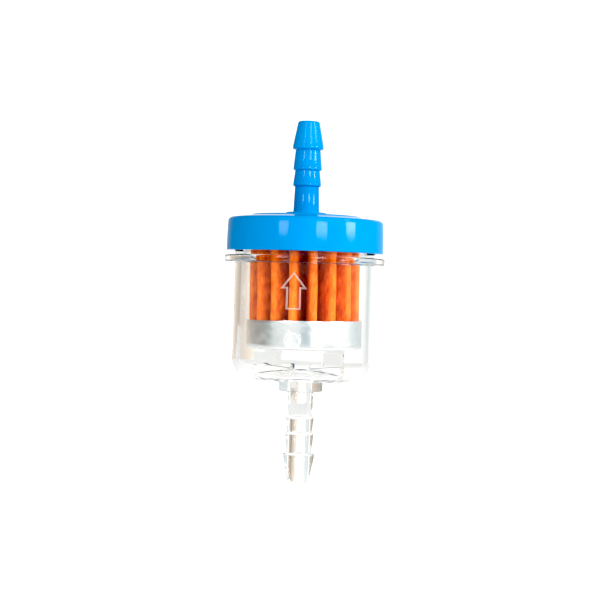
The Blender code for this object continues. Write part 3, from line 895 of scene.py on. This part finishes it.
for face in bowl_piece.data.polygons:
    radius, height = math.hypot(face.center.x, face.center.y) / MM, face.center.z / MM
    azimuth = math.degrees(math.atan2(face.center.x, -face.center.y))
    if radius > wall_outside + RIM_STARTS:
        face.material_index = RIM_FACES
    elif radius > wall_outside + MARKS_START and RING_HEIGHT - 3 < height < ARROW_TIP:
        face.material_index = MARK_FACES
    elif on_a_rib(radius, azimuth, height):
        face.material_index = RIB_FACES
counts = [sum(face.material_index == index for face in bowl_piece.data.polygons) for index in range(4)]
print("faces of the wall, marks, ribs and rim:", counts)

# %% [markdown]
# ## Pleated paper
# The paper is one long strip, folded to and fro and bent round into a star. It starts as a circle of four
# points a pleat, which are moved to the two corners of each outer fold and of each inner fold. A vertex
# bevel turns those corners into soft folds. The line is then extruded upwards in steps, so that each step
# can wander a little as hand folded paper does, and Solidify gives it a thickness.

# %% Fold the paper
PLEATS = 17
FIRST_PLEAT = 16.5
SEAM_PLEAT = 8
SEAM_PLEAT_SHORTER = 0.55
PAPER_THICKNESS = 0.4
FOLD = 0.72
ROOT_FOLD = 0.5
FOLD_SHARE = 0.98      # how much of the way to its neighbour each corner's rounding takes up
CUP_TO_PAPER = 0.55
paper_outside = lower_cup_high.x / MM - CUP_TO_PAPER
paper_inside = 5.4


def fold_corner(pleat, corner):
    """Radius, azimuth and sideways shift of a corner: 0 and 1 are on the outer fold, 2 and 3 on the inner."""
    pitch = 360 / PLEATS
    outer = paper_outside - PAPER_THICKNESS / 2 - (SEAM_PLEAT_SHORTER if pleat == SEAM_PLEAT else 0.0)
    if corner < 2:
        return outer, FIRST_PLEAT + pitch * pleat, (-FOLD, FOLD)[corner]
    return paper_inside, FIRST_PLEAT + pitch * (pleat + 0.5), (-ROOT_FOLD, ROOT_FOLD)[corner - 2]


paper = bmesh.new()
points = bmesh.ops.create_circle(paper, segments=4 * PLEATS, radius=1.0)["verts"]
for index, vert in enumerate(points):
    radius, azimuth, shift = fold_corner(index // 4, index % 4)
    vert.co = around(azimuth, radius * MM, paper_low.z) + around(azimuth + 90, shift * MM, 0.0)
for start, softness in ((0, FOLD_SHARE * FOLD), (2, FOLD_SHARE * ROOT_FOLD)):
    corners = [vert for index, vert in enumerate(points) if index % 4 in (start, start + 1)]
    bmesh.ops.bevel(
        paper,
        geom=corners,
        offset=softness * MM,
        offset_type="OFFSET",
        affect="VERTICES",
        segments=5,
        profile=0.5,
        clamp_overlap=True,
        material=-1,
    )
print("points on the folded line:", len(paper.verts))

# %% Raise the folded line into a pleated strip
PAPER_STEPS = 26
WANDER = 0.3 * MM
WANDER_SCALE = (160, 160, 55)
strip_height = paper_high.z - paper_low.z


def raise_line(shape, height, steps):
    """Extrude a wire line upwards in equal steps, so that it becomes an upright sheet."""
    line = shape.edges[:]
    for _ in range(steps):
        grown = bmesh.ops.extrude_edge_only(shape, edges=line)["geom"]
        lifted = {item for item in grown if isinstance(item, bmesh.types.BMVert)}
        bmesh.ops.translate(shape, verts=list(lifted), vec=(0.0, 0.0, height / steps))
        line = [item for item in grown if isinstance(item, bmesh.types.BMEdge) and set(item.verts) <= lifted]


raise_line(paper, strip_height, PAPER_STEPS)
for vert in paper.verts:
    share_up = min(max((vert.co.z - paper_low.z) / strip_height, 0.0), 1.0)
    azimuth = math.degrees(math.atan2(vert.co.x, -vert.co.y))
    drift = noise.noise(Vector([scale * value for scale, value in zip(WANDER_SCALE, vert.co)]))
    vert.co += around(azimuth + 90, WANDER * drift * math.sin(math.pi * share_up), 0.0)
bmesh.ops.recalc_face_normals(paper, faces=paper.faces)
paper_piece = make_piece(
    "pleated_paper", paper, resin_paper, "resin_paper", "pleated_element", sharp=60, place=LEAN
)
thickness = paper_piece.modifiers.new("thickness", "SOLIDIFY")
thickness.thickness = PAPER_THICKNESS * MM
thickness.offset = 0.0
thickness.use_even_offset = True

# %% [markdown]
# ## End cups
# Each end of the paper is bedded in a cup pressed from thin tin. A press leaves a round corner where the
# base meets the wall, a wall that is a little uneven, and now and then a dent from the tool. The cups are
# turned from their section, and then their walls are pushed in and out by a slow noise of a few hundredths
# of a millimetre.

# %% Turn the cups
SHEET = 0.3
CUP_CORNER = 0.8
CUP_HOLE = 5.0
WALL_UNEVEN = 0.05 * MM
UNEVEN_SCALE = (110, 110, 60)
CUP_WALL_FROM = 12.5      # the base within this radius stays flat
DENT_AZIMUTH, DENT_HEIGHT, DENT_SIZE, DENT_DEPTH = 53.8, 34.4, 0.45, 0.12


def uneven(shape):
    """Push a cup's wall in and out a little, and press one small dent into the lower cup's."""
    dent = around(DENT_AZIMUTH, lower_cup_high.x, DENT_HEIGHT * MM)
    for vert in shape.verts:
        radius = math.hypot(vert.co.x, vert.co.y)
        if radius < CUP_WALL_FROM * MM:
            continue
        azimuth = math.degrees(math.atan2(vert.co.x, -vert.co.y))
        push = noise.noise(Vector([scale * value for scale, value in zip(UNEVEN_SCALE, vert.co)])) - 1.0
        reach = (vert.co - dent).length / (DENT_SIZE * MM)
        push = WALL_UNEVEN * push / 2 - DENT_DEPTH * MM * math.exp(-reach * reach)
        vert.co += around(azimuth, push, 0.0)


def cup(name, base, opening, hole, node):
    """A cup from the height of its base and its opening. hole is the radius of a hole in its base, or 0."""
    inwards = 1 if opening > base else -1
    radius = lower_cup_high.x / MM
    corners = [
        (hole, base, 0.08 if hole else 0, 2),
        (radius, base, CUP_CORNER, 6),
        *[(radius, base + (opening - base) * step / 10, 0, 0) for step in range(2, 10)],
        (radius, opening, 0.1, 3),
        (radius - SHEET, opening, 0.1, 3),
        *[(radius - SHEET, base + (opening - base) * step / 10, 0, 0) for step in range(9, 1, -1)],
        (radius - SHEET, base + inwards * SHEET, CUP_CORNER - SHEET, 6),
        (hole, base + inwards * SHEET, 0.08 if hole else 0, 2),
    ]
    shape = turn(section(corners, closed=bool(hole)))
    uneven(shape)
    return make_piece(name, shape, tin_plate, "tin_plate", node, place=LEAN)


cup("lower_tin_cup", lower_cup_low.z / MM, lower_cup_high.z / MM, 0.0, "lower_end_cap")
cup("upper_tin_cup", upper_cup_high.z / MM, upper_cup_low.z / MM, CUP_HOLE, "upper_end_cap")

# %% [markdown]
# ## Seam clip
# The strip of paper has two ends, and they meet in one pleat at the back. A folded tin strip grips them. It
# is a line with two rounded corners, raised to the paper's height and given its thickness.

# %% Fold the seam clip
CLIP_SHEET = 0.25
CLIP_HALF_WIDTH = 1.17
CLIP_LEG = 4.17
SEAM_FOLD_RADIUS = 11.9      # where the seam pleat's outer fold has its centre
clip_low, clip_high = upright_box("seam_clip")
seam_azimuth = FIRST_PLEAT + 360 / PLEATS * SEAM_PLEAT
seam_outside = SEAM_FOLD_RADIUS + CLIP_HALF_WIDTH

clip = bmesh.new()
clip_points = []
for radius, shift in (
    (seam_outside - CLIP_LEG, -CLIP_HALF_WIDTH),
    (seam_outside, -CLIP_HALF_WIDTH),
    (seam_outside, CLIP_HALF_WIDTH),
    (seam_outside - CLIP_LEG, CLIP_HALF_WIDTH),
):
    place_at = around(seam_azimuth, radius * MM, clip_low.z) + around(seam_azimuth + 90, shift * MM, 0.0)
    clip_points.append(clip.verts.new(place_at))
for pair in zip(clip_points, clip_points[1:]):
    clip.edges.new(pair)
bmesh.ops.bevel(
    clip,
    geom=clip_points[1:3],
    offset=FOLD_SHARE * CLIP_HALF_WIDTH * MM,
    offset_type="OFFSET",
    affect="VERTICES",
    segments=6,
    profile=0.5,
    clamp_overlap=True,
    material=-1,
)
raise_line(clip, clip_high.z - clip_low.z, 4)
bmesh.ops.recalc_face_normals(clip, faces=clip.faces)
clip_piece = make_piece("seam_strip", clip, tin_plate, "tin_plate", "seam_clip", sharp=60, place=LEAN)
folded = clip_piece.modifiers.new("thickness", "SOLIDIFY")
folded.thickness = CLIP_SHEET * MM
folded.offset = 0.0
folded.use_even_offset = True

# %% [markdown]
# ## Pieces that stay as they are
# The perforated tube, the two layers of plastisol and the rubber ring are right in the CAD model, and they
# lie deep inside. They only need their finishes.

# %% Finish the inner pieces
for node, finish in (
    ("centre_tube", tin_plate),
    ("lower_potting", plastisol),
    ("upper_potting", plastisol),
    ("outlet_grommet", black_rubber),
):
    for material_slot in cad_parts[node].material_slots:
        material_slot.material = finish
    print(node, "is now", finish.name)
